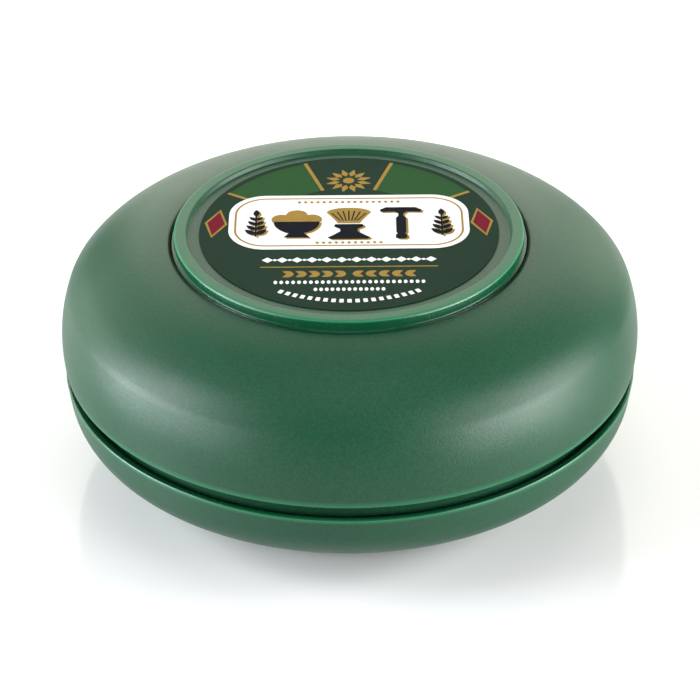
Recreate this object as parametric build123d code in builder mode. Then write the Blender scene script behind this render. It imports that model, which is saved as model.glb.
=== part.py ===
from build123d import *
import math
import os

# Shaving soap tub: a double-walled bowl holding a poured puck of soap, closed by a doughnut-shaped screw lid.
# Millimetres. Origin on the table under the middle of the foot, +Z up, everything turned about the Z axis.
# Sections are drawn on Plane.XZ, so the two numbers of a point are its radius and its height.

# Driving dimensions
overall_r = 48.0  # widest radius, low on the lid's flank
rim_z = 17.96  # top of the bowl's rim
lid_edge_z = 20.05  # lower edge of the lid, which leaves a shadow gap above the rim
ring_top_z = 42.4  # top of the raised ring, the tub's full height
wall = 1.6  # outer shells
inner_wall = 1.5  # hidden mouldings
fit = 0.05  # clearance between pieces held in each other

# Bowl
rim_r = 47.74
foot_r = 32.4
foot_width = 3.2
foot_round = 0.5
bowl_edge_r = 33.55  # where the bowl's flare ends, a little outside and above the foot ring
bowl_edge_z = 1.0
flare = 37.0  # degrees above the table
side_draft = 7.8  # degrees off vertical
bowl_bend = 8.2
label_recess = 1.0
bowl_floor_z = 2.6
step_z = 16.9  # the step inside the rim that carries the soap cup
step_r = 44.3

# Soap cup: flange, neck and well in one moulding
flange_r = 45.5
flange_t = 2.0  # stands proud of the rim and shows as a band in the shadow gap
neck_r = 35.6
lip_z = 33.0
well_r = 34.0
well_draft = 1.0  # the well is this much narrower at its floor
well_corner = 5.0
well_floor_z = 4.4
lip_round = 0.5

# Soap, 75 ml of it
soap_gap = 0.1  # the puck shrinks from the wall as it dries
soap_edge_z = 26.8
soap_dip = 0.8  # fall of its surface from edge to middle
soap_round = 1.2

# Screw thread: right-handed, so the lid comes off anticlockwise
starts = 3
lead = 12.0
ridge_height = 1.1
ridge_root = 2.4
ridge_crest = 1.2
ridge_sink = 0.4  # depth of a ridge's root inside its wall
neck_ridge_z = 22.8  # where the middle of a neck ridge starts
cap_ridge_z = 20.8  # the same for the cap, half a pitch lower
ridge_rise = 6.0  # climb of one ridge, half a turn

# Inner cap and its liner
cap_bore_r = 37.0
cap_foot_z = 19.3
web_z = 21.5
liner_r = 36.4
liner_t = 1.0

# Lid shell: four tangent arcs, up the flank, round the shoulder and the brow, and over the crown
widest_z = 23.75
flank_radius = 23.8
flank_arc = 19.0  # above the widest ring
shoulder_radius = 5.5
shoulder_arc = 17.2
brow_radius = 14.0
brow_arc = 20.8
crown_radius = 26.5
crown_arc = 31.0
edge_round = 0.5
seat_r = 29.35
seat_z = 39.4
hole_r = 27.8

# Lid centre: a raised ring round a shallow recess
ring_r = 28.75
ring_width = 2.0
ring_foot_r = 29.2
ring_foot_z = 40.6
recess_r = 26.4
recess_z = 41.7
spigot_z = 36.6

# Printed labels
label_t = 0.15
lid_label_r = 24.6
base_label_r = 26.0


def direction(degrees):
    return Vector(math.cos(math.radians(degrees)), math.sin(math.radians(degrees)))


def crossing(point_a, degrees_a, point_b, degrees_b):
    """Where the line through point_a meets the line through point_b."""
    a = direction(degrees_a)
    b = direction(degrees_b)
    gap = point_b - point_a
    along = (gap.X * b.Y - gap.Y * b.X) / (a.X * b.Y - a.Y * b.X)
    return point_a + a * along


os.makedirs("parts", exist_ok=True)

# Bowl: the outer shell of the base. Its foot is a ring round a shallow recess for the base label, and a step
# inside its rim carries the soap cup's flange, which is welded there.
bowl_edge = Vector(bowl_edge_r, bowl_edge_z)
rim_edge = Vector(rim_r, rim_z)
bowl_corner = crossing(bowl_edge, flare, rim_edge, 90 - side_draft)
flange_top_z = step_z + flange_t

with BuildPart() as base_shell:
    with BuildSketch(Plane.XZ) as bowl_section:
        with BuildLine():
            bowl_outside = FilletPolyline(bowl_edge, bowl_corner, rim_edge, radius=bowl_bend)
            offset(bowl_outside, amount=wall, side=Side.LEFT, closed=True)
        make_face()
        Polygon(
            (0, label_recess),
            (foot_r - foot_width, label_recess),
            (foot_r - foot_width, 0),
            (foot_r, 0),
            (foot_r, bowl_edge_z),
            (bowl_edge_r, bowl_edge_z),
            (bowl_edge_r + (bowl_floor_z - bowl_edge_z) / math.tan(math.radians(flare)), bowl_floor_z),
            (0, bowl_floor_z),
            align=None,
        )
        Polygon(
            (step_r, step_z),
            (step_r + wall + 0.5, step_z),
            (step_r + wall + 0.5, step_z - wall),
            (step_r + 0.8, step_z - wall),
            (step_r, step_z - 0.8),
            align=None,
        )
        with Locations((0, rim_z)):
            Rectangle(2 * overall_r, wall, align=(Align.CENTER, Align.MIN), mode=Mode.SUBTRACT)
        foot_corners = bowl_section.vertices().group_by(Axis.Y)[0]
        fillet(foot_corners, radius=foot_round)
        flare_end = bowl_section.vertices().sort_by_distance((bowl_edge_r, bowl_edge_z))[0]
        fillet(flare_end, radius=0.5)
        rim_corners = bowl_section.vertices().group_by(Axis.Y)[-1]
        fillet(rim_corners, radius=0.35)
    revolve(axis=Axis.Z)
base_shell.part.label = "base_shell"
export_step(base_shell.part, "parts/base_shell.step")

# One thread ridge for the neck's outside and one for the cap's inside, each a trapezoid swept up half a turn
with BuildPart() as neck_ridge:
    with BuildLine() as neck_helix:
        Helix(pitch=lead, height=ridge_rise, radius=neck_r)
    with BuildSketch(Plane(origin=neck_helix.line @ 0, x_dir=(1, 0, 0), z_dir=neck_helix.line % 0)):
        Polygon(
            (-ridge_sink, -ridge_root / 2),
            (0, -ridge_root / 2),
            (ridge_height, -ridge_crest / 2),
            (ridge_height, ridge_crest / 2),
            (0, ridge_root / 2),
            (-ridge_sink, ridge_root / 2),
            align=None,
        )
    sweep(path=neck_helix.line, is_frenet=True)

with BuildPart() as cap_ridge:
    with BuildLine() as cap_helix:
        Helix(pitch=lead, height=ridge_rise, radius=cap_bore_r)
    with BuildSketch(Plane(origin=cap_helix.line @ 0, x_dir=(1, 0, 0), z_dir=cap_helix.line % 0)):
        Polygon(
            (ridge_sink, -ridge_root / 2),
            (0, -ridge_root / 2),
            (-ridge_height, -ridge_crest / 2),
            (-ridge_height, ridge_crest / 2),
            (0, ridge_root / 2),
            (ridge_sink, ridge_root / 2),
            align=None,
        )
    sweep(path=cap_helix.line, is_frenet=True)

# Soap cup: the well, a threaded neck and the flange that closes the top of the bowl
well_floor_r = well_r - well_draft
cup_bottom_z = well_floor_z - inner_wall

with BuildPart() as soap_cup:
    with BuildSketch(Plane.XZ) as cup_section:
        Polygon(
            (0, cup_bottom_z),
            (well_floor_r + inner_wall, cup_bottom_z),
            (neck_r, step_z),
            (flange_r, step_z),
            (flange_r, flange_top_z),
            (neck_r, flange_top_z),
            (neck_r, lip_z),
            (well_r, lip_z),
            (well_floor_r, well_floor_z),
            (0, well_floor_z),
            align=None,
        )
        well_bend = cup_section.vertices().sort_by_distance((well_floor_r, well_floor_z))[0]
        fillet(well_bend, radius=well_corner)
        cup_bend = cup_section.vertices().sort_by_distance((well_floor_r + inner_wall, cup_bottom_z))[0]
        fillet(cup_bend, radius=well_corner + inner_wall)
        flange_rim = cup_section.vertices().group_by(Axis.X)[-1]
        fillet(flange_rim, radius=0.3)
        neck_root = cup_section.vertices().sort_by_distance((neck_r, flange_top_z))[0]
        fillet(neck_root, radius=0.8)
        lip_corners = cup_section.vertices().group_by(Axis.Y)[-1]
        fillet(lip_corners, radius=lip_round)
    revolve(axis=Axis.Z)
    with Locations((0, 0, neck_ridge_z)):
        with PolarLocations(0, starts):
            add(neck_ridge.part)
soap_cup.part.label = "soap_cup"
export_step(soap_cup.part, "parts/soap_cup.step")

# Soap: poured into the well, so it has the well's shape, a dipped surface and a rounded upper edge
soap_edge_r = well_r - soap_gap - well_draft * (lip_z - soap_edge_z) / (lip_z - well_floor_z)
dip_radius = (soap_edge_r**2 + soap_dip**2) / (2 * soap_dip)
dip_arc = math.degrees(math.asin(soap_edge_r / dip_radius))

with BuildPart() as soap_puck:
    with BuildSketch(Plane.XZ) as soap_section:
        with BuildLine():
            dip_centre = (0, soap_edge_z - soap_dip + dip_radius)
            dip = CenterArc(dip_centre, dip_radius, -90, dip_arc)
            Polyline(
                dip @ 1,
                (well_floor_r - soap_gap, well_floor_z),
                (0, well_floor_z),
                dip @ 0,
            )
        make_face()
        soap_foot = soap_section.vertices().sort_by_distance((well_floor_r, well_floor_z))[0]
        fillet(soap_foot, radius=well_corner + 1)
        soap_shoulder = soap_section.vertices().sort_by_distance((soap_edge_r, soap_edge_z))[0]
        fillet(soap_shoulder, radius=soap_round)
    revolve(axis=Axis.Z)
soap_puck.part.label = "soap_puck"
export_step(soap_puck.part, "parts/soap_puck.step")

# Base label: a disc stuck up inside the foot ring
with BuildPart() as base_label:
    with BuildSketch(Plane.XY.offset(label_recess - label_t)):
        Circle(base_label_r)
    extrude(amount=label_t)
base_label.part.label = "base_label"
export_step(base_label.part, "parts/base_label.step")

# Sealing liner: a foam disc pressed on the neck's lip, loose in the cap so that it need not turn with it
with BuildPart() as sealing_liner:
    with BuildSketch(Plane.XY.offset(lip_z)):
        Circle(liner_r)
    extrude(amount=liner_t)
    fillet(sealing_liner.edges(), radius=0.3)
sealing_liner.part.label = "sealing_liner"
export_step(sealing_liner.part, "parts/sealing_liner.step")

# Inner cap: threaded skirt and top, with a web that closes the underside of the doughnut
cap_r = cap_bore_r + inner_wall
cap_ceiling_z = lip_z + liner_t
cap_top_z = cap_ceiling_z + inner_wall
web_top_z = web_z + inner_wall
web_r = overall_r - wall - fit - 0.15

with BuildPart() as inner_cap:
    with BuildSketch(Plane.XZ) as cap_section:
        Polygon(
            (0, cap_ceiling_z),
            (cap_bore_r, cap_ceiling_z),
            (cap_bore_r, cap_foot_z),
            (cap_r, cap_foot_z),
            (cap_r, web_z),
            (web_r, web_z),
            (web_r, web_top_z),
            (cap_r, web_top_z),
            (cap_r, cap_top_z),
            (0, cap_top_z),
            align=None,
        )
        web_root = cap_section.vertices().sort_by_distance((cap_r, web_z))[0]
        fillet(web_root, radius=0.8)
        cap_shoulder = cap_section.vertices().sort_by_distance((cap_r, cap_top_z))[0]
        fillet(cap_shoulder, radius=1.0)
        cap_foot = cap_section.vertices().filter_by_position(Axis.Y, cap_foot_z - 0.1, cap_foot_z + 0.1)
        fillet(cap_foot, radius=0.4)
        Polygon(
            (liner_r - 0.2, lip_z - 0.4),
            (cap_bore_r + 0.4, lip_z - 0.4 - 0.5),
            (cap_bore_r + 0.4, lip_z - 0.2),
            align=None,
        )
    revolve(axis=Axis.Z)
    with Locations((0, 0, cap_ridge_z)):
        with PolarLocations(0, starts):
            add(cap_ridge.part)
inner_cap.part.label = "inner_cap"
export_step(inner_cap.part, "parts/inner_cap.step")

# Lid shell: the doughnut. Its hole has a seat for the lid centre, and a step and a bead inside its lower edge
# hold the inner cap's web.
tuck_arc = math.degrees(math.asin((widest_z - lid_edge_z + wall) / flank_radius))

with BuildPart() as lid_shell:
    with BuildSketch(Plane.XZ) as lid_section:
        with BuildLine():
            with BuildLine() as lid_outside:
                flank_centre = (overall_r - flank_radius, widest_z)
                flank = CenterArc(flank_centre, flank_radius, -tuck_arc, tuck_arc + flank_arc)
                shoulder = JernArc(flank @ 1, flank % 1, shoulder_radius, shoulder_arc)
                brow = JernArc(shoulder @ 1, shoulder % 1, brow_radius, brow_arc)
                JernArc(brow @ 1, brow % 1, crown_radius, crown_arc)
            offset(lid_outside.wire(), amount=wall, side=Side.LEFT, closed=True)
        make_face()
        with Locations((0, seat_z)):
            Rectangle(2 * seat_r, 6 * wall, mode=Mode.SUBTRACT)
        Polygon(
            (hole_r, seat_z),
            (seat_r + 2, seat_z),
            (seat_r + 2, seat_z - inner_wall),
            (hole_r, seat_z - inner_wall),
            align=None,
        )
        Polygon(
            (web_r - 1.2, web_top_z),
            (web_r + 1, web_top_z),
            (web_r + 1, web_top_z + 3),
            (web_r - 1.2, web_top_z + 1),
            align=None,
        )
        with Locations((0, lid_edge_z)):
            Rectangle(2 * overall_r, 2 * wall, align=(Align.CENTER, Align.MAX), mode=Mode.SUBTRACT)
        edge_corners = lid_section.vertices().group_by(Axis.Y)[0]
        fillet(edge_corners, radius=edge_round)
    revolve(axis=Axis.Z)
lid_shell.part.label = "lid_shell"
export_step(lid_shell.part, "parts/lid_shell.step")

# Lid centre: drops into the doughnut's hole, where a bead under its spigot snaps below the seat
ring_inner_r = ring_r - ring_width

with BuildPart() as lid_centre:
    with BuildSketch(Plane.XZ) as centre_section:
        Polygon(
            (0, recess_z),
            (recess_r, recess_z),
            (ring_inner_r, ring_top_z),
            (ring_r, ring_top_z),
            (ring_r, ring_foot_z),
            (ring_foot_r, ring_foot_z),
            (ring_foot_r, seat_z),
            (hole_r - fit, seat_z),
            (hole_r - fit, seat_z - inner_wall - fit),
            (hole_r + 0.25, seat_z - inner_wall - fit),
            (hole_r - fit, spigot_z + 0.4),
            (hole_r - fit - 0.4, spigot_z),
            (hole_r - fit - inner_wall, spigot_z),
            (hole_r - fit - inner_wall, recess_z - inner_wall),
            (0, recess_z - inner_wall),
            align=None,
        )
        ring_corners = centre_section.vertices().group_by(Axis.Y)[-1]
        fillet(ring_corners, radius=0.45)
        foot_corner = centre_section.vertices().sort_by_distance((ring_foot_r, ring_foot_z))[0]
        fillet(foot_corner, radius=0.2)
    revolve(axis=Axis.Z)
lid_centre.part.label = "lid_centre"
export_step(lid_centre.part, "parts/lid_centre.step")

# Lid label: a disc stuck in the recess
with BuildPart() as lid_label:
    with BuildSketch(Plane.XY.offset(recess_z)):
        Circle(lid_label_r)
    extrude(amount=label_t)
lid_label.part.label = "lid_label"
export_step(lid_label.part, "parts/lid_label.step")

print("soap volume", round(soap_puck.part.volume), "mm3")
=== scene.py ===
import bpy
import math
import random
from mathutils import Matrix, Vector


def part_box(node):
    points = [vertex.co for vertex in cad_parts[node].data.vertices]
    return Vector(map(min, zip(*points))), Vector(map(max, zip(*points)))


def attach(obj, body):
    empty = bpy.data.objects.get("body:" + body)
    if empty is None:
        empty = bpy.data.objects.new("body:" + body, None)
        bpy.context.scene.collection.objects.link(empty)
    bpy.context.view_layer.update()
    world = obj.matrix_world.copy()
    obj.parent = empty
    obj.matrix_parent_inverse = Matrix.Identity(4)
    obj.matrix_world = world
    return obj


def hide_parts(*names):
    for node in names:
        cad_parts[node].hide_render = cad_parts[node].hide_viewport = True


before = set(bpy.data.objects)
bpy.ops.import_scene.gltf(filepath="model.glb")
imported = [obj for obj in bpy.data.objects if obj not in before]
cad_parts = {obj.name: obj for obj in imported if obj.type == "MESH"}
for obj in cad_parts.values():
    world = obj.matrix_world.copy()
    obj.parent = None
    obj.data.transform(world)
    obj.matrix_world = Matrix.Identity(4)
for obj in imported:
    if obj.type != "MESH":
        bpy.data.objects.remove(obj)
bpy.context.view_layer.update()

# A shaving soap tub with a doughnut-shaped screw lid. Lengths are millimetres unless a comment says
# otherwise, and MM turns them into Blender's metres. The shells are turned about the Z axis, so an outline
# is a list of (radius, height) points. Azimuth 0 is the side that faces the camera.
MM = 0.001
TURNS = 288  # steps round a turned piece
ARC_STEP = 0.4  # longest step along a rounded corner

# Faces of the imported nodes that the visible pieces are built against
OVERALL_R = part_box("lid_shell")[1][0] / MM
LID_EDGE_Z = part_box("lid_shell")[0][2] / MM
RING_TOP_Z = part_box("lid_centre")[1][2] / MM
SPIGOT_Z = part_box("lid_centre")[0][2] / MM
RIM_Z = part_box("base_shell")[1][2] / MM
LABEL_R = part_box("lid_label")[1][0] / MM
LABEL_TOP_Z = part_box("lid_label")[1][2] / MM
RECESS_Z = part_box("lid_label")[0][2] / MM
BASE_LABEL_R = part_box("base_label")[1][0] / MM
BASE_LABEL_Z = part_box("base_label")[0][2] / MM
BASE_RECESS_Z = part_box("base_label")[1][2] / MM
SOAP_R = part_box("soap_puck")[1][0] / MM
SOAP_TOP_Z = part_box("soap_puck")[1][2] / MM
SOAP_FLOOR_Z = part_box("soap_puck")[0][2] / MM

WALL = 1.6  # outer shells
SHELF = 1.5  # the shelf in the lid's hole that carries the centre
SEAT_R = 29.35  # wall of the seat that the centre's foot flange drops into
SEAT_Z = 39.4  # level of that seat
RING_R = 28.75  # outside of the raised ring


# ---------------------------------------------------------------- outlines
def arc(centre, radius, start, end, steps=None):
    """Points on an arc, in degrees from +radius towards +height."""
    steps = steps or max(4, math.ceil(abs(end - start) / 1.5))
    points = []
    for i in range(steps + 1):
        a = math.radians(start + (end - start) * i / steps)
        points.append((centre[0] + radius * math.cos(a), centre[1] + radius * math.sin(a)))
    return points


def rounded(corners):
    """An open or closed run of points, where a corner (x, y, radius) becomes an arc of that radius."""
    count = len(corners)
    points = []
    for i, corner in enumerate(corners):
        if len(corner) == 2:
            points.append(corner)
            continue
        here = Vector(corner[:2])
        back = (Vector(corners[i - 1][:2]) - here).normalized()
        on = (Vector(corners[(i + 1) % count][:2]) - here).normalized()
        half = back.angle(on) / 2
        centre = here + (back + on).normalized() * (corner[2] / math.sin(half))
        first = here + back * (corner[2] / math.tan(half))
        last = here + on * (corner[2] / math.tan(half))
        a = math.atan2(first.y - centre.y, first.x - centre.x)
        b = math.atan2(last.y - centre.y, last.x - centre.x)
        b += 2 * math.pi * round((a - b) / (2 * math.pi))
        steps = max(8, int(abs(b - a) * corner[2] / ARC_STEP))
        points += arc(centre, corner[2], math.degrees(a), math.degrees(b), steps)
    return points


def chain_arc(centre, radius, start, turn, next_radius):
    """An arc, and the centre of the arc of next_radius that carries on from it without a kink."""
    points = arc(centre, radius, start, start + turn)
    a = math.radians(start + turn)
    step = radius - next_radius
    return points, (centre[0] + step * math.cos(a), centre[1] + step * math.sin(a)), start + turn


# ---------------------------------------------------------------- meshes
def add_mesh(name, verts, faces, smooth=True):
    mesh = bpy.data.meshes.new(name)
    mesh.from_pydata(verts, [], faces)
    mesh.update()
    obj = bpy.data.objects.new(name, mesh)
    bpy.context.scene.collection.objects.link(obj)
    if smooth:
        mesh.polygons.foreach_set("use_smooth", [True] * len(mesh.polygons))
    return obj


def keep_flats(obj):
    """Shades flat faces flat and the small rounds between them smooth."""
    obj.modifiers.new("flats", "WEIGHTED_NORMAL").weight = 90


def turned(name, outline, closed=True, turns=TURNS, lift=None):
    """A solid turned from an outline. Points on the axis become one vertex, and lift(x, y, r, z) shifts a
    point's height."""
    area = sum(a[0] * b[1] - b[0] * a[1] for a, b in zip(outline, outline[1:] + outline[:1]))
    if area < 0:
        outline = outline[::-1]  # so that the faces look outwards
    verts = []
    rings = []
    for r, z in outline:
        if r < 1e-6:
            rings.append([len(verts)] * turns)
            verts.append((0, 0, (z + (lift(0, 0, 0, z) if lift else 0)) * MM))
            continue
        rings.append(list(range(len(verts), len(verts) + turns)))
        for k in range(turns):
            a = 2 * math.pi * k / turns
            x = r * math.cos(a)
            y = r * math.sin(a)
            verts.append((x * MM, y * MM, (z + (lift(x, y, r, z) if lift else 0)) * MM))
    faces = []
    pairs = list(zip(rings, rings[1:]))
    if closed:
        pairs.append((rings[-1], rings[0]))
    for low, high in pairs:
        if low[0] == low[1] and high[0] == high[1]:
            continue
        for k in range(turns):
            n = (k + 1) % turns
            face = [low[k], low[n], high[n], high[k]]
            face = [v for i, v in enumerate(face) if v != face[i - 1]]
            faces.append(face)
    return add_mesh(name, verts, faces)


def finish_faces(obj, materials, choose):
    """Gives each face the material that choose(radius, height, upward) numbers, heights in millimetres."""
    obj.data.materials.clear()
    for material in materials:
        obj.data.materials.append(material)
    for face in obj.data.polygons:
        c = face.center / MM
        face.material_index = choose(math.hypot(c.x, c.y), c.z, face.normal.z)


# ---------------------------------------------------------------- camera
# From a fit of the camera and the outline together, in which the distance was chosen first and held fixed.
CAMERA_DISTANCE = 0.4771  # metres, from the point it looks at
CAMERA_ELEVATION = 32.845  # degrees above the table
CAMERA_ROLL = -0.485  # degrees about its own axis
LOOKS_AT = Vector((0, 0, 0.01855))  # metres
SENSOR = 36  # Blender's millimetres, as the lens is
LENS = 145.64


def make_camera():
    data = bpy.data.cameras.new("camera")
    data.lens = LENS
    data.sensor_width = SENSOR
    data.clip_start = 0.01
    data.clip_end = 20
    camera = bpy.data.objects.new("camera", data)
    bpy.context.scene.collection.objects.link(camera)
    up = math.radians(CAMERA_ELEVATION)
    back = Vector((0, -math.cos(up), math.sin(up)))
    camera.location = LOOKS_AT + back * CAMERA_DISTANCE
    camera.rotation_euler = (-back).to_track_quat("-Z", "Y").to_euler("XYZ")
    camera.rotation_euler.rotate_axis("Z", math.radians(CAMERA_ROLL))
    bpy.context.scene.camera = camera


# ---------------------------------------------------------------- materials
MIX_A, MIX_B, MIX_RESULT = 6, 7, 2  # the colour sockets of a Mix node


def new_material(name, colour, roughness):
    """A Principled material, with its node tree, its shader and the object coordinates to build on."""
    material = bpy.data.materials.new(name)
    material.use_nodes = True
    tree = material.node_tree
    shader = tree.nodes["Principled BSDF"]
    shader.inputs["Base Color"].default_value = (*colour, 1)
    shader.inputs["Roughness"].default_value = roughness
    place = tree.nodes.new("ShaderNodeTexCoord").outputs["Object"]
    return material, tree, shader, place


def noise(tree, place, scale, detail=2.0, roughness=0.5):
    node = tree.nodes.new("ShaderNodeTexNoise")
    node.inputs["Scale"].default_value = scale
    node.inputs["Detail"].default_value = detail
    node.inputs["Roughness"].default_value = roughness
    tree.links.new(place, node.inputs["Vector"])
    return node.outputs["Fac"]


def stretched(tree, place, scale):
    node = tree.nodes.new("ShaderNodeMapping")
    node.inputs["Scale"].default_value = scale
    tree.links.new(place, node.inputs["Vector"])
    return node.outputs["Vector"]


def remap(tree, value, low, high, to_low, to_high):
    node = tree.nodes.new("ShaderNodeMapRange")
    tree.links.new(value, node.inputs["Value"])
    for name, number in (("From Min", low), ("From Max", high), ("To Min", to_low), ("To Max", to_high)):
        node.inputs[name].default_value = number
    return node.outputs["Result"]


def blend_colours(tree, factor, first, second):
    """Blends from first, a colour or a colour signal, to the colour second."""
    node = tree.nodes.new("ShaderNodeMix")
    node.data_type = "RGBA"
    tree.links.new(factor, node.inputs["Factor"])
    if isinstance(first, tuple):
        node.inputs[MIX_A].default_value = (*first, 1)
    else:
        tree.links.new(first, node.inputs[MIX_A])
    node.inputs[MIX_B].default_value = (*second, 1)
    return node.outputs[MIX_RESULT]


def combine(tree, operation, first, second):
    node = tree.nodes.new("ShaderNodeMath")
    node.operation = operation
    for socket, value in zip(node.inputs, (first, second)):
        if isinstance(value, (int, float)):
            socket.default_value = value
        else:
            tree.links.new(value, socket)
    return node.outputs["Value"]


def bump(tree, shader, height, depth, strength=1.0):
    """depth is the relief in metres for a height signal from 0 to 1."""
    node = tree.nodes.new("ShaderNodeBump")
    node.inputs["Strength"].default_value = strength
    node.inputs["Distance"].default_value = depth
    tree.links.new(height, node.inputs["Height"])
    tree.links.new(node.outputs["Normal"], shader.inputs["Normal"])


def scratches(tree, place, amount):
    """Sparse hairline scuffs from handling, 1 on a scuff and 0 elsewhere."""
    long_x = noise(tree, stretched(tree, place, (60, 900, 400)), 1.0, 3.0)
    long_y = noise(tree, stretched(tree, place, (800, 50, 300)), 1.0, 3.0)
    first = remap(tree, long_x, 0.5 - amount, 0.5 + amount, 0, 1)
    second = remap(tree, long_y, 0.5 - amount, 0.5 + amount, 0, 1)
    node = tree.nodes.new("ShaderNodeMath")
    node.operation = "PINGPONG"
    node.inputs[1].default_value = 0.5
    tree.links.new(combine(tree, "ADD", first, second), node.inputs[0])
    return remap(tree, node.outputs[0], 0.44, 0.5, 0, 1)


# Linear colours of the plastic. They were adjusted under this script's own lights and aren't measured ones.
GREEN = (0.0052, 0.0400, 0.0184)
GREEN_PALE = (0.0068, 0.0515, 0.0238)
# Painted highlight: the brighter green that the satin is painted towards along an edge band
PAINTED_GLOW_GREEN = (0.0115, 0.1180, 0.0500)
# Painted light: the ring's top, painted lighter than the rest of the plastic where light falls on it
RING_TOP_PAINTED_LIT = (0.0105, 0.0790, 0.0345)
# Painted highlight: the ring's rounded outer edge, painted a brighter glowing green
RING_EDGE_PAINTED_GLOW = (0.0140, 0.1250, 0.0560)


def satin_green(name="satin_green", colour=GREEN, pale=GREEN_PALE, painted_glow=None):
    """Polypropylene out of a spark-eroded mould: a fine even grain with a soft sheen. Between the two heights
    given for an edge its colour is painted brighter, a painted highlight for light that comes through the
    plastic of an edge."""
    material, tree, shader, place = new_material(name, colour, 0.42)
    cloud = noise(tree, place, 60, 3.0)
    fleck = noise(tree, place, 2600, 2.0)
    slow = remap(tree, cloud, 0.3, 0.7, 0.1, 0.5)
    mottle = combine(tree, "ADD", slow, remap(tree, fleck, 0.35, 0.65, -0.6, 0.8))
    body = blend_colours(tree, mottle, colour, pale)
    # Painted highlight: the colour is blended to the bright edge green between the two heights
    if painted_glow:
        split = tree.nodes.new("ShaderNodeSeparateXYZ")
        tree.links.new(place, split.inputs["Vector"])
        painted_glow_mix = remap(tree, split.outputs["Z"], painted_glow[0] * MM, painted_glow[1] * MM, 0, 1)
        body = blend_colours(tree, painted_glow_mix, body, PAINTED_GLOW_GREEN)
    tree.links.new(body, shader.inputs["Base Color"])
    bump(tree, shader, noise(tree, place, 3000, 2.0, 0.6), 0.00005, 0.6)
    rough = remap(tree, noise(tree, place, 150, 4.0), 0.3, 0.7, 0.41, 0.43)
    tree.links.new(rough, shader.inputs["Roughness"])
    shader.inputs["Specular IOR Level"].default_value = 0.29
    return material


def polished_green():
    """The same plastic where the mould is polished: deep and smoother, with fine scuffs from handling."""
    colour = (0.0020, 0.0420, 0.0170)
    material, tree, shader, place = new_material("polished_green", colour, 0.12)
    cloud = noise(tree, place, 90, 2.0)
    lighter = tuple(c * 1.15 for c in colour)
    tree.links.new(blend_colours(tree, cloud, colour, lighter), shader.inputs["Base Color"])
    rough = remap(tree, noise(tree, place, 500, 4.0), 0.35, 0.75, 0.20, 0.30)
    worn = combine(tree, "ADD", rough, combine(tree, "MULTIPLY", scratches(tree, place, 0.3), 0.12))
    tree.links.new(worn, shader.inputs["Roughness"])
    bump(tree, shader, noise(tree, place, 300, 3.0), 0.00001, 0.3)
    return material


def white_foam():
    """Closed-cell polyethylene foam: fine cells under a skin."""
    material, tree, shader, place = new_material("white_foam", (0.82, 0.82, 0.79), 0.6)
    cells = tree.nodes.new("ShaderNodeTexVoronoi")
    cells.inputs["Scale"].default_value = 1500
    tree.links.new(place, cells.inputs["Vector"])
    colour = blend_colours(tree, cells.outputs["Distance"], (0.86, 0.86, 0.83), (0.70, 0.71, 0.68))
    tree.links.new(colour, shader.inputs["Base Color"])
    bump(tree, shader, cells.outputs["Distance"], 0.00015, 0.5)
    shader.inputs["Subsurface Weight"].default_value = 0.1
    shader.inputs["Subsurface Radius"].default_value = (0.002, 0.002, 0.002)
    return material


def poured_soap():
    """Milled and poured shaving soap: creamy, waxy, faintly marbled, with pinholes from the pour."""
    material, tree, shader, place = new_material("poured_soap", (0.86, 0.84, 0.75), 0.45)
    marble = noise(tree, stretched(tree, place, (70, 70, 30)), 1.0, 5.0, 0.6)
    vein = remap(tree, marble, 0.35, 0.65, 0, 1)
    colour = blend_colours(tree, vein, (0.88, 0.87, 0.80), (0.80, 0.78, 0.66))
    tree.links.new(colour, shader.inputs["Base Color"])
    holes = tree.nodes.new("ShaderNodeTexVoronoi")
    holes.inputs["Scale"].default_value = 420
    tree.links.new(place, holes.inputs["Vector"])
    pits = remap(tree, holes.outputs["Distance"], 0.0, 0.28, 0, 1)
    wax = combine(tree, "MULTIPLY", noise(tree, place, 240, 5.0, 0.6), 0.8)
    bump(tree, shader, combine(tree, "ADD", pits, wax), 0.00018, 0.55)
    rough = remap(tree, noise(tree, place, 120, 3.0), 0.3, 0.7, 0.36, 0.56)
    tree.links.new(rough, shader.inputs["Roughness"])
    shader.inputs["Subsurface Weight"].default_value = 0.35
    shader.inputs["Subsurface Radius"].default_value = (0.003, 0.0026, 0.0018)
    return material


def printed(name, colour, roughness=0.50, metal=0.0, mottle=0.06):
    """Ink on the label's film: slightly uneven cover and a faint press grain."""
    material, tree, shader, place = new_material(name, colour, roughness)
    darker = tuple(c * (1 - mottle) for c in colour)
    cover = remap(tree, noise(tree, place, 700, 4.0, 0.6), 0.35, 0.65, 0, 1)
    tree.links.new(blend_colours(tree, cover, darker, colour), shader.inputs["Base Color"])
    shader.inputs["Metallic"].default_value = metal
    rough = remap(tree, noise(tree, place, 350, 3.0), 0.3, 0.7, roughness - 0.04, roughness + 0.05)
    tree.links.new(rough, shader.inputs["Roughness"])
    bump(tree, shader, noise(tree, place, 1800, 2.0), 0.00001, 0.3)
    shader.inputs["Specular IOR Level"].default_value = 0.01
    return material


def uncoated_paper():
    material, tree, shader, place = new_material("uncoated_paper", (0.80, 0.79, 0.73), 0.75)
    fibre = noise(tree, stretched(tree, place, (500, 2200, 500)), 1.0, 5.0, 0.7)
    colour = blend_colours(tree, fibre, (0.74, 0.73, 0.66), (0.84, 0.83, 0.78))
    tree.links.new(colour, shader.inputs["Base Color"])
    bump(tree, shader, fibre, 0.00004, 0.5)
    return material


def dress(node, material):
    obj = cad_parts[node]
    obj.data.materials.clear()
    obj.data.materials.append(material)


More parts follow.
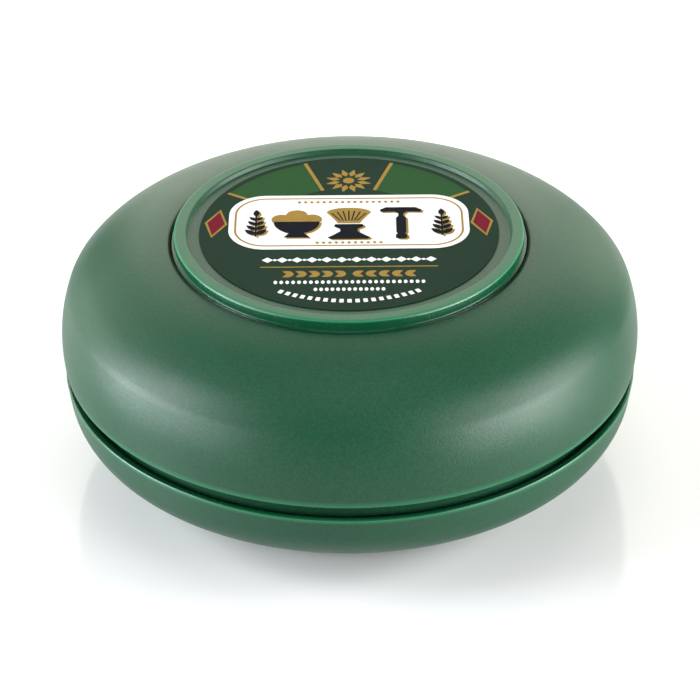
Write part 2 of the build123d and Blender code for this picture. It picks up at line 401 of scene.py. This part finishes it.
# ---------------------------------------------------------------- turned shells
def lid_outline():
    """The doughnut: four arcs outside, the same arcs a wall's thickness in, and a shelf in its hole."""
    flank_r, shoulder_r, brow_r, crown_r = 23.8, 5.5, 14.0, 26.5
    flank_turn, shoulder_turn, brow_turn = 19.0, 17.2, 20.8
    widest_z = 23.75
    hole_r, seat_reach = 27.8, 2.0
    web_top_z, web_r = 23.0, 46.2
    edge_round, edge_lean = 0.5, 0.19
    flank_centre = (OVERALL_R - flank_r, widest_z)

    def run(inset, low_z, end_r):
        """From low_z on the flank up and over to the radius end_r, inset from the outside."""
        low = -math.degrees(math.asin((widest_z - low_z) / (flank_r - inset)))
        outer, centre, angle = chain_arc(flank_centre, flank_r, low, flank_turn - low, shoulder_r)
        points = arc(flank_centre, flank_r - inset, low, angle)
        _, centre_b, angle_b = chain_arc(centre, shoulder_r, angle, shoulder_turn, brow_r)
        points += arc(centre, shoulder_r - inset, angle, angle_b)[1:]
        _, centre_c, angle_c = chain_arc(centre_b, brow_r, angle_b, brow_turn, crown_r)
        points += arc(centre_b, brow_r - inset, angle_b, angle_c)[1:]
        end = math.degrees(math.acos((end_r - centre_c[0]) / (crown_r - inset)))
        return points + arc(centre_c, crown_r - inset, angle_c, end)[1:]

    outside = run(0, LID_EDGE_Z + 1.0, SEAT_R)
    inside = run(WALL, web_top_z + 2.2, SEAT_R + seat_reach)
    inside.reverse()
    flank_x = outside[0][0]
    points = [(flank_x - edge_lean, LID_EDGE_Z, edge_round)] + outside
    points += [(SEAT_R, SEAT_Z), (hole_r, SEAT_Z)]
    points += [(hole_r, SEAT_Z - SHELF), (SEAT_R + seat_reach, SEAT_Z - SHELF)]
    points += inside
    points += [(web_r - 1.2, web_top_z + 1.0), (web_r - 1.2, web_top_z), (flank_x - WALL, web_top_z)]
    points += [(flank_x - WALL - edge_lean, LID_EDGE_Z, edge_round)]
    return rounded(points)


def centre_outline():
    """The raised ring round the label's recess, its foot flange, and a spigot with a bead that snaps into the
    doughnut."""
    ring_width = 2.0
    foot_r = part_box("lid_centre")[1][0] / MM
    foot_z = 40.6
    bore_r, skin = 27.75, 1.5
    recess_r = 26.4
    return rounded([
        (0, RECESS_Z),
        (LABEL_R + 0.6, RECESS_Z),
        (recess_r, RECESS_Z, 0.15),
        (RING_R - ring_width, RING_TOP_Z, 0.3),
        (RING_R, RING_TOP_Z, 0.45),
        (RING_R, foot_z, 0.1),
        (foot_r, foot_z, 0.2),
        (foot_r, SEAT_Z),
        (bore_r, SEAT_Z),
        (bore_r, SEAT_Z - SHELF - 0.05),
        (bore_r + 0.3, SEAT_Z - SHELF - 0.05),
        (bore_r, SPIGOT_Z + 0.4),
        (bore_r - 0.4, SPIGOT_Z),
        (bore_r - skin, SPIGOT_Z),
        (bore_r - skin, RECESS_Z - skin),
        (0, RECESS_Z - skin),
    ])


def bowl_outline():
    """The base: foot ring, flare, bend and wall outside, and inside its rim a chamfer down to the step that
    carries the soap cup's flange."""
    rim_r, flare, draft, bend = 47.74, 37.0, 7.8, 8.2
    foot_r, foot_width = 32.4, 3.2
    edge_r, edge_z, floor_z = 33.55, 1.0, 2.6
    step_r, step_z = 44.3, 16.9
    slope = math.tan(math.radians(flare))
    lean = math.tan(math.radians(draft))
    inset_flare = WALL / math.sin(math.radians(flare))
    inset_wall = WALL / math.cos(math.radians(draft))

    def wall_r(z, inset):
        return rim_r - inset - (RIM_Z - z) * lean

    def corner(inset_side, inset_low):
        """Where the wall's line meets the flare's line, both set inwards."""
        z = (wall_r(0, inset_side) - edge_r + inset_low + edge_z / slope) / (1 / slope - lean)
        return wall_r(z, inset_side), z

    under_z = step_z - WALL
    outer_bend = rounded([(edge_r, edge_z), (*corner(0, 0), bend), (rim_r, RIM_Z)])[1:-1]
    inner_bend = rounded([
        (wall_r(under_z, inset_wall), under_z),
        (*corner(inset_wall, inset_flare), bend - WALL),
        (edge_r, floor_z - 0.4),
    ])[:-1]
    return rounded([
        (0, BASE_RECESS_Z),
        (foot_r - foot_width, BASE_RECESS_Z, 0.2),
        (foot_r - foot_width, 0, 0.5),
        (foot_r, 0, 0.5),
        (foot_r, edge_z, 0.2),
        (edge_r, edge_z, 0.45),
        *outer_bend,
        (rim_r, RIM_Z, 0.3),
        (rim_r - 0.8, RIM_Z, 0.15),
        (wall_r(step_z, inset_wall), step_z),
        (step_r, step_z),
        (step_r, step_z - 0.8),
        (step_r + 0.8, under_z),
        *inner_bend,
        (edge_r + (floor_z - edge_z) / slope - inset_flare, floor_z),
        (0, floor_z),
    ])


def make_shells(satin, polished):
    # Painted highlights: the lid is painted brighter towards its lower edge and the bowl towards its rim
    lid_satin = satin_green("satin_lid", painted_glow=(LID_EDGE_Z + 1.5, LID_EDGE_Z + 0.2))
    bowl_satin = satin_green("satin_bowl", painted_glow=(RIM_Z - 0.9, RIM_Z - 0.3))
    # Painted light: a lighter copy of the satin for the ring's upward faces
    ring_top_painted_lit = satin_green("satin_ring", RING_TOP_PAINTED_LIT, RING_TOP_PAINTED_LIT)
    # Painted highlight: a brighter copy of the satin for the ring's rounded outer edge
    ring_edge_painted_glow = satin_green("satin_ring_edge", RING_EDGE_PAINTED_GLOW, RING_EDGE_PAINTED_GLOW)

    level, leaning = 0.97, 0.3  # how far a face of the ring looks up

    def lid_face(r, z, up):
        """Polished along the lower edge and in the seat."""
        return 1 if z < LID_EDGE_Z + 0.35 or r < SEAT_R + 0.01 else 0

    def centre_face(r, z, up):
        """The ring's top is painted a lighter green where light falls on it and its rounded outer edge a
        brighter green, both painted light, and its foot and spigot are polished.
        """
        raised = z > RECESS_Z + 0.1
        if raised and up > level:
            return 1
        if raised and up > leaning and r > RING_R - 0.75:
            return 2
        return 3 if z < RECESS_Z - 0.3 or r > RING_R - 0.15 else 0

    def bowl_face(r, z, up):
        """Polished on the rim and inside it."""
        inside = r < 46 and z > 14
        return 1 if z > RIM_Z - 0.16 or inside else 0

    lid = turned("lid_doughnut", lid_outline())
    finish_faces(lid, (lid_satin, polished), lid_face)
    keep_flats(lid)
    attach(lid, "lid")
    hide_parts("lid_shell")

    centre = turned("lid_centre_ring", centre_outline(), closed=False)
    finish_faces(centre, (satin, ring_top_painted_lit, ring_edge_painted_glow, polished), centre_face)
    keep_flats(centre)
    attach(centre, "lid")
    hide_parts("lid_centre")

    bowl = turned("base_bowl", bowl_outline(), closed=False)
    finish_faces(bowl, (bowl_satin, polished), bowl_face)
    keep_flats(bowl)
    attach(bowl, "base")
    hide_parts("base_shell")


# ---------------------------------------------------------------- soap
def make_soap(material):
    """The poured puck. Its face has the slow spiral left by the filling nozzle, a dished middle and small
    dents."""
    dice = random.Random(7)
    dents = []
    for _ in range(26):
        a = dice.uniform(0, 2 * math.pi)
        r = SOAP_R * math.sqrt(dice.random()) * 0.92
        dents.append((r * math.cos(a), r * math.sin(a), dice.uniform(0.7, 2.4), dice.uniform(0.03, 0.10)))

    def lift(x, y, r, z):
        if z < SOAP_TOP_Z - 3 or r > SOAP_R - 1.0:
            return 0.0
        fade = min(1.0, (SOAP_R - 1.0 - r) / 2.5)
        turn = math.atan2(y, x)
        spiral = 0.5 + 0.5 * math.cos(turn + r * 1.55)
        height = -0.16 * spiral * min(1.0, r / 4)
        for dx, dy, width, depth in dents:
            away = ((x - dx) ** 2 + (y - dy) ** 2) / width**2
            if away < 9:
                height -= depth * math.exp(-away)
        return height * fade

    dip = 0.8
    edge_z = SOAP_TOP_Z
    sag_r = SOAP_R - 1.2
    face = [(sag_r * i / 70, edge_z - dip * (1 - (i / 70) ** 2)) for i in range(71)]
    outline = face + rounded([
        (SOAP_R - 0.02, edge_z, 0.9),
        (SOAP_R - 0.75, SOAP_FLOOR_Z + 0.02, 5.5),
        (0, SOAP_FLOOR_Z + 0.02),
    ])
    soap = turned("soap_cake", outline, closed=False, turns=240, lift=lift)
    soap.data.materials.append(material)
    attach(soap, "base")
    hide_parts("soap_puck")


# ---------------------------------------------------------------- print shapes, as closed outlines
def ellipse(x, y, rx, ry, tilt=0.0, steps=24):
    c, s = math.cos(math.radians(tilt)), math.sin(math.radians(tilt))
    points = []
    for i in range(steps):
        a = 2 * math.pi * i / steps
        u, v = rx * math.cos(a), ry * math.sin(a)
        points.append((x + u * c - v * s, y + u * s + v * c))
    return points


def leaf(x, y, length, width, tilt):
    """A pointed leaf from its stalk at (x, y), made of two arcs."""
    c, s = math.cos(math.radians(tilt)), math.sin(math.radians(tilt))
    steps = 9
    side = []
    for i in range(steps + 1):
        side.append((length * i / steps, width / 2 * math.sin(math.pi * (i / steps) ** 0.85)))
    loop = side + [(u, -v) for u, v in reversed(side[1:-1])]
    return [(x + u * c - v * s, y + u * s + v * c) for u, v in loop]


def diamond(x, y, width, height, tilt=0.0):
    c, s = math.cos(math.radians(tilt)), math.sin(math.radians(tilt))
    loop = [(width / 2, 0), (0, height / 2), (-width / 2, 0), (0, -height / 2)]
    return [(x + u * c - v * s, y + u * s + v * c) for u, v in loop]


def pill(half_width, bottom, top, radius):
    return rounded([
        (half_width, bottom, radius),
        (half_width, top, radius),
        (-half_width, top, radius),
        (-half_width, bottom, radius),
    ])


def ribbon(path, width, closed=False):
    """Quads along a path."""
    points = [Vector(p) for p in path]
    count = len(points)
    left, right = [], []
    for i, p in enumerate(points):
        before = points[i - 1] if closed or i else p
        after = points[(i + 1) % count] if closed or i < count - 1 else p
        side = (after - before).normalized()
        side = Vector((-side.y, side.x)) * width / 2
        left.append(tuple(p + side))
        right.append(tuple(p - side))
    last = count if closed else count - 1
    return [[right[i], right[(i + 1) % count], left[(i + 1) % count], left[i]] for i in range(last)]


def sector(inner, outer, start, end):
    """A piece of a ring, as quads."""
    middle = arc((0, 0), (inner + outer) / 2, start, end, max(6, int(abs(end - start) / 2)))
    return ribbon(middle, outer - inner)


def mirrored(shapes):
    return [[(-x, y) for x, y in reversed(shape)] for shape in shapes]


def both(shapes):
    return shapes + mirrored(shapes)


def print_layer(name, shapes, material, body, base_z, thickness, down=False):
    """Ink shapes as thin flat solids, standing up from base_z or hanging under it. Neighbours in the list
    differ in thickness by a few thousandths of a millimetre, so that where they overlap their faces don't lie
    in one plane."""
    verts, faces = [], []
    for index, shape in enumerate(shapes):
        n = len(verts)
        pass_t = thickness + 0.001 * (index % 5)
        face_z = base_z + (-pass_t if down else pass_t)
        count = len(shape)
        area = sum(a[0] * b[1] - b[0] * a[1] for a, b in zip(shape, shape[1:] + shape[:1]))
        loop = list(shape) if area > 0 else list(reversed(shape))
        if down:
            loop.reverse()
        verts += [(x * MM, y * MM, face_z * MM) for x, y in loop]
        verts += [(x * MM, y * MM, base_z * MM) for x, y in loop]
        faces.append(list(range(n, n + count)))
        faces.append(list(reversed(range(n + count, n + 2 * count))))
        for i in range(count):
            k = (i + 1) % count
            faces.append([n + i, n + count + i, n + count + k, n + k])
    obj = add_mesh(name, verts, faces, smooth=False)
    obj.data.materials.append(material)
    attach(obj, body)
    return obj


# ---------------------------------------------------------------- lid label
def silhouette(x, y, size, right):
    """A shape that is the same on both sides, from the points of its right side, bottom to top."""
    loop = right + [(-u, v) for u, v in reversed(right)]
    return [(x + u * size, y + v * size) for u, v in loop]


def brush_shapes(x, y, size):
    """A shaving brush standing on its handle, with a fan of bristles above."""
    handle = [(0.30, 0.0), (0.34, 0.05), (0.24, 0.14), (0.14, 0.24), (0.14, 0.32), (0.24, 0.40), (0.22, 0.47)]
    angles = [math.pi * k / 16 for k in range(8, 0, -1)]
    crest = [(0.36 * math.sin(a), 0.84 + 0.16 * math.cos(a)) for a in angles]
    knot = [(0.18, 0.50), (0.22, 0.60), (0.33, 0.80)] + crest
    return [silhouette(x, y, size, handle), silhouette(x, y, size, knot)]


def bowl_shapes(x, y, size):
    """A lather bowl on a foot, with three humps of foam."""
    bowl = [(0.20, 0.0), (0.16, 0.08), (0.12, 0.13)] + arc((0, 0.49), 0.37, -70, 0, 8) + [(0.40, 0.50)]
    foam = arc((0.25, 0.57), 0.16, -25, 115, 8) + arc((0, 0.68), 0.19, 42, 90, 4)
    return [silhouette(x, y, size, bowl), silhouette(x, y, size, foam)]


def razor_shapes(x, y, size):
    """A T-shaped safety razor standing on its handle."""
    handle = [(0.05, 0.0), (0.09, 0.03), (0.09, 0.12), (0.06, 0.16), (0.08, 0.22), (0.08, 0.66), (0.04, 0.72)]
    head = [(0.10, 0.86), (0.32, 0.85), (0.34, 0.92), (0.24, 1.0)]
    return [silhouette(x, y, size, handle + [(0.04, 0.80)] + head)]


def sprig_shapes(x, y, length, lean=0.0, leaf_length=2.7):
    """A stem with paired leaves that shorten towards the tip."""
    c, s = math.cos(math.radians(lean)), math.sin(math.radians(lean))
    shapes = ribbon([(x, y), (x + length * c, y + length * s)], 0.3)
    for k in range(4):
        along = length * (0.08 + 0.23 * k)
        size = leaf_length * (1 - 0.12 * k)
        px, py = x + along * c, y + along * s
        shapes.append(leaf(px, py, size, size * 0.48, lean + 46))
        shapes.append(leaf(px, py, size, size * 0.48, lean - 46))
    shapes.append(leaf(x + length * c * 0.96, y + length * s * 0.96, 2.2, 1.0, lean))
    return shapes


def dots(y, half_width, count, rx, ry):
    step = 2 * half_width / (count - 1)
    return [ellipse(-half_width + k * step, y, rx, ry, steps=12) for k in range(count)]


def make_lid_label():
    """A made-up label: a plaque of grooming pictograms, a rosette, border panels and rows of ornament."""
    ground = printed("film_green", (0.0128, 0.0280, 0.0182))
    white = printed("ink_white", (0.62, 0.62, 0.60), mottle=0.02)
    navy = printed("ink_navy", (0.0047, 0.0060, 0.0095))
    gold = printed("ink_gold", (0.235, 0.148, 0.030), 0.45, metal=0.2, mottle=0.12)
    green = printed("ink_mid_green", (0.019, 0.061, 0.0205))
    crimson = printed("ink_crimson", (0.119, 0.0084, 0.018))
    dress("lid_label", ground)
    ink = 0.02  # thickness of one pass of ink

    def layer(name, shapes, material, passes_below):
        z = LABEL_TOP_Z + ink * passes_below
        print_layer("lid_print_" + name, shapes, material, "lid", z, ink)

    # Border panels above the plaque, ruled off in gold, and a lozenge at each end of it
    panel_start, panel_end = 108, 148
    layer("panels", both(sector(14.0, 23.6, panel_start, panel_end)), green, 0)
    rules = []
    for angle in (panel_start, panel_end):
        a = math.radians(angle)
        rules += ribbon([(r * math.cos(a), r * math.sin(a)) for r in (14.0, 23.8)], 0.6)
    layer("panel_rules", both(rules), gold, 1)
    lozenge = (21.9, 2.6)
    layer("lozenge_edges", both([diamond(*lozenge, 3.8, 9.2, 8)]), gold, 0)
    layer("lozenges", both([diamond(*lozenge, 2.9, 7.6, 8)]), crimson, 1)

    # Plaque in the middle, over the panels, with a gold line inside its edge
    low, high, half = -5.9, 11.6, 19.8
    layer("plaque", [pill(half, low, high, 6.2)], white, 2)
    line = pill(half - 1.1, low + 1.1, high - 1.1, 5.1)
    tall = 10.2
    foot_y = low + 3.1
    handle, knot = brush_shapes(0, foot_y, tall)
    dish, foam = bowl_shapes(-8.6, foot_y + 0.6, tall)
    tools = [handle, dish] + razor_shapes(8.6, foot_y, tall)
    tools += both(sprig_shapes(15.3, foot_y + 1.0, 6.8, 90, 2.5))
    shadow = [[(x + 0.35, y - 0.35) for x, y in shape] for shape in tools]
    bristles = []
    for k in range(-3, 4):
        bristles += ribbon([(0.45 * k, foot_y + 5.9), (0.95 * k, foot_y + 9.2 - 0.09 * k * k)], 0.2)
    rows = dots(high - 2.3, 8.2, 17, 0.27, 0.36) + dots(low + 2.0, 5.2, 11, 0.27, 0.36)
    layer("plaque_gold", ribbon(line, 0.32, closed=True) + shadow + [knot, foam] + rows, gold, 3)
    layer("pictograms", tools + bristles, navy, 4)

    # Rosette over the plaque: two rounds of petals about a boss
    rosette = (0, 16.6)
    layer("rosette", [leaf(*rosette, 3.9, 1.25, 15 + 30 * k) for k in range(12)], gold, 0)
    layer("rosette_inner", [leaf(*rosette, 2.4, 0.8, 30 * k) for k in range(12)], ground, 1)
    layer("rosette_boss", [ellipse(*rosette, 0.95, 0.95)], gold, 2)

    # Below the plaque: an ornament row, a rule, a leaf chain, two dot rows and an arc of dashes
    ornament = [diamond(-13.2 + 2.4 * k, -9.2, 1.8, 1.6) for k in range(12)]
    beads = [ellipse(-12.0 + 2.4 * k, -9.2, 0.3, 0.3, steps=10) for k in range(11)]
    fine = dots(-16.1, 11.8, 26, 0.30, 0.50) + dots(-18.3, 5.4, 13, 0.30, 0.50)
    dashes = []
    for k in range(19):
        a = -120 + 60 * k / 18
        dashes += sector(21.3, 22.3, a - 0.9, a + 0.9)
    layer("white_rows", ornament + beads + fine + dashes, white, 0)
    chain = []
    for k in range(5):
        chain.append(leaf(0.5 + 2.1 * k, -13.6, 2.0, 1.0, 26))
        chain.append(leaf(0.5 + 2.1 * k, -13.6, 2.0, 1.0, -26))
    rule = ribbon([(-14.3, -11.4), (14.3, -11.4)], 0.26)
    layer("gold_rows", rule + both(chain), gold, 0)


# ---------------------------------------------------------------- base label
def make_base_label():
    dress("base_label", uncoated_paper())
    green = printed("ink_base_green", (0.012, 0.085, 0.040), 0.6)

    def turned_over(shapes):
        return [[(-x, y) for x, y in shape] for shape in shapes]

    border = sector(BASE_LABEL_R - 2.4, BASE_LABEL_R - 1.2, 0, 360)
    border += sector(BASE_LABEL_R - 3.4, BASE_LABEL_R - 3.1, 0, 360)
    sprig = sprig_shapes(-6.5, 4.0, 11.0)
    bars = ((13, -4), (11, -6.4), (12.5, -8.8), (8, -11.2))  # half width and height of each
    rows = [pill(half, y - 0.35, y + 0.35, 0.3) for half, y in bars]
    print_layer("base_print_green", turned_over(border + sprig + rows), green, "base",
                BASE_LABEL_Z, 0.02, down=True)


# ---------------------------------------------------------------- stage
def make_floor():
    """A pale glossy table. Its surface is mostly matte, with a soft clear-coat reflection of the tub."""
    size = 4.0
    floor = add_mesh("floor", [(-size, -size, 0), (size, -size, 0), (size, size, 0), (-size, size, 0)],
                     [(0, 1, 2, 3)], smooth=False)
    material, _, shader, _ = new_material("floor_white", (0.70, 0.70, 0.70), 0.5)
    shader.inputs["Specular IOR Level"].default_value = 0.0
    shader.inputs["Coat Weight"].default_value = 1.0
    shader.inputs["Coat IOR"].default_value = 1.62
    shader.inputs["Coat Roughness"].default_value = 0.12
    floor.data.materials.append(material)


def area_light(name, azimuth, elevation, distance, width, height, watts, tint):
    """A soft box aimed at the tub, azimuth 0 in front of it and 90 to its right."""
    data = bpy.data.lights.new(name, "AREA")
    data.shape = "RECTANGLE"
    data.size = width
    data.size_y = height
    data.energy = watts
    data.color = tint
    light = bpy.data.objects.new(name, data)
    bpy.context.scene.collection.objects.link(light)
    a = math.radians(azimuth)
    e = math.radians(elevation)
    out = Vector((math.sin(a) * math.cos(e), -math.cos(a) * math.cos(e), math.sin(e)))
    light.location = LOOKS_AT + out * distance
    light.rotation_mode = "QUATERNION"
    light.rotation_quaternion = (-out).to_track_quat("-Z", "Y")


COOL = (0.97, 1.00, 1.05)
WARM = (1.00, 0.98, 0.87)
WHITE = (1.00, 1.00, 1.00)

# Soft boxes: name, azimuth, elevation, width and height in metres, watts and tint. The powers are the
# result of a least-squares fit of the shading, rounded. Only right_low_back, back_left and back_right were
# moved from it by a watt or more.
LIGHTS = (
    ("left_low_back", -90, 8, 0.50, 0.38, 15, COOL),
    ("left_low", -69, 8, 0.50, 0.38, 11, COOL),
    ("left_low_front", -50, 8, 0.40, 0.38, 4, COOL),
    ("left_mid", -85, 23, 0.60, 0.38, 5, COOL),
    ("left_high", -80, 38, 0.60, 0.40, 10, COOL),
    ("right_low_front", 52, 8, 0.50, 0.38, 11, WHITE),
    ("right_low", 73, 8, 0.50, 0.38, 16, WHITE),
    ("right_low_back", 93, 12, 0.45, 0.45, 5, WHITE),
    ("right_mid", 86, 26, 0.50, 0.38, 8, WHITE),
    ("right_high", 62, 38, 0.80, 0.40, 7, WHITE),
    ("back_left", 236, 15, 0.80, 0.60, 5, WARM),
    ("back", 182, 15, 0.90, 0.60, 6, WARM),
    ("back_right", 146, 15, 0.55, 0.60, 3, WARM),
    ("back_high", 185, 40, 1.80, 0.60, 7, WARM),
    ("overhead", 0, 90, 0.60, 0.60, 2, WHITE),
    ("front_high", 0, 62, 0.70, 0.35, 0.5, WHITE),
)
LIGHT_DISTANCE = 1.3  # metres


def make_lights():
    world = bpy.data.worlds.new("studio")
    bpy.context.scene.world = world
    world.use_nodes = True
    background = world.node_tree.nodes["Background"]
    background.inputs["Color"].default_value = (1, 1, 1, 1)
    background.inputs["Strength"].default_value = 0.0
    for name, azimuth, elevation, width, height, watts, tint in LIGHTS:
        area_light(name, azimuth, elevation, LIGHT_DISTANCE, width, height, watts, tint)
    bpy.context.scene.view_settings.view_transform = "Standard"


make_camera()
make_floor()
make_lights()
polished = polished_green()
satin = satin_green()
make_shells(satin, polished)
make_soap(poured_soap())
dress("soap_cup", satin)
dress("inner_cap", polished)
dress("sealing_liner", white_foam())
make_lid_label()
make_base_label()
